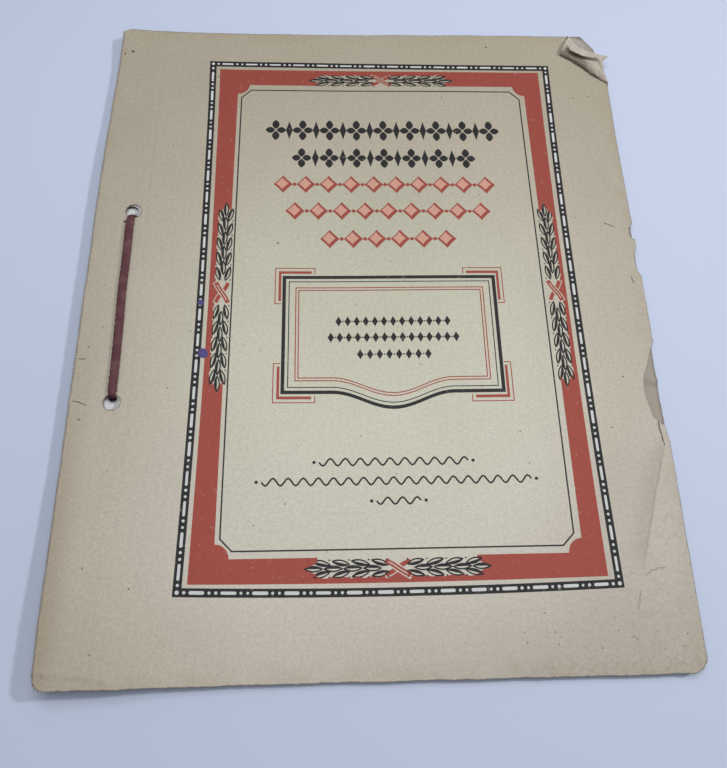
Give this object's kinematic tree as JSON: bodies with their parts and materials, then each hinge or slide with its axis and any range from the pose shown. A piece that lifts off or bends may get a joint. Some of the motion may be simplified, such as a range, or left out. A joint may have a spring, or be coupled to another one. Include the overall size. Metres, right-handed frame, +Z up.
{
  "type": "stamp album",
  "caption": "Soft-covered stamp album of loose paper leaves between card covers, laced through two punched holes at the spine with a cord, so covers and leaves turn on a crease.",
  "frame": {"origin": "under the middle of the covers, on the surface that the album lies on", "axes": "+X from the spine to the open edge, +Y up the page, +Z up out of the front cover"},
  "size_m": [0.217, 0.269, 0.0079],
  "materials": {
    "cover_card": "matte, aged buff card, printed on the front",
    "leaf_paper": "matte, off-white album paper",
    "lacing": "twisted cotton cord, dark maroon"
  },
  "bodies": {
    "binding": {"back_cover": "cover_card", "leaf_1_margin": "leaf_paper", "leaf_2_margin": "leaf_paper", "leaf_3_margin": "leaf_paper", "leaf_4_margin": "leaf_paper", "leaf_5_margin": "leaf_paper", "leaf_6_margin": "leaf_paper", "leaf_7_margin": "leaf_paper", "leaf_8_margin": "leaf_paper", "front_cover_margin": "cover_card", "lacing_cord": "lacing", "lacing_knot": "lacing", "cord_end_upper": "lacing", "cord_end_lower": "lacing"},
    "front_cover": {"front_cover_panel": "cover_card"},
    "leaf_1": {"leaf_1_panel": "leaf_paper"},
    "leaf_2": {"leaf_2_panel": "leaf_paper"},
    "leaf_3": {"leaf_3_panel": "leaf_paper"},
    "leaf_4": {"leaf_4_panel": "leaf_paper"},
    "leaf_5": {"leaf_5_panel": "leaf_paper"},
    "leaf_6": {"leaf_6_panel": "leaf_paper"},
    "leaf_7": {"leaf_7_panel": "leaf_paper"},
    "leaf_8": {"leaf_8_panel": "leaf_paper"}
  },
  "joints": [
    {"name": "front_cover_turn", "type": "hinge", "parent": "binding", "child": "front_cover", "pos_m": [-0.088, 0, 0.00516], "axis": [0, -1, 0], "range_deg": [0, 150]},
    {"name": "leaf_1_turn", "type": "hinge", "parent": "binding", "child": "leaf_1", "pos_m": [-0.088, 0, 0.00516], "axis": [0, -1, 0], "range_deg": [0, 133.34]},
    {"name": "leaf_2_turn", "type": "hinge", "parent": "binding", "child": "leaf_2", "pos_m": [-0.088, 0, 0.00516], "axis": [0, -1, 0], "range_deg": [0, 116.68]},
    {"name": "leaf_3_turn", "type": "hinge", "parent": "binding", "child": "leaf_3", "pos_m": [-0.088, 0, 0.00516], "axis": [0, -1, 0], "range_deg": [0, 100.02]},
    {"name": "leaf_4_turn", "type": "hinge", "parent": "binding", "child": "leaf_4", "pos_m": [-0.088, 0, 0.00516], "axis": [0, -1, 0], "range_deg": [0, 83.35]},
    {"name": "leaf_5_turn", "type": "hinge", "parent": "binding", "child": "leaf_5", "pos_m": [-0.088, 0, 0.00516], "axis": [0, -1, 0], "range_deg": [0, 66.67]},
    {"name": "leaf_6_turn", "type": "hinge", "parent": "binding", "child": "leaf_6", "pos_m": [-0.088, 0, 0.00516], "axis": [0, -1, 0], "range_deg": [0, 50]},
    {"name": "leaf_7_turn", "type": "hinge", "parent": "binding", "child": "leaf_7", "pos_m": [-0.088, 0, 0.00516], "axis": [0, -1, 0], "range_deg": [0, 33.34]},
    {"name": "leaf_8_turn", "type": "hinge", "parent": "binding", "child": "leaf_8", "pos_m": [-0.088, 0, 0.00516], "axis": [0, -1, 0], "range_deg": [0, 16.68]}
  ],
  "couplings": [
    {"joint": "leaf_1_turn", "follows": "front_cover_turn", "ratio": 0.8889},
    {"joint": "leaf_2_turn", "follows": "front_cover_turn", "ratio": 0.7778},
    {"joint": "leaf_3_turn", "follows": "front_cover_turn", "ratio": 0.6667},
    {"joint": "leaf_4_turn", "follows": "front_cover_turn", "ratio": 0.5556},
    {"joint": "leaf_5_turn", "follows": "front_cover_turn", "ratio": 0.4444},
    {"joint": "leaf_6_turn", "follows": "front_cover_turn", "ratio": 0.3333},
    {"joint": "leaf_7_turn", "follows": "front_cover_turn", "ratio": 0.2222},
    {"joint": "leaf_8_turn", "follows": "front_cover_turn", "ratio": 0.1111}
  ]
}
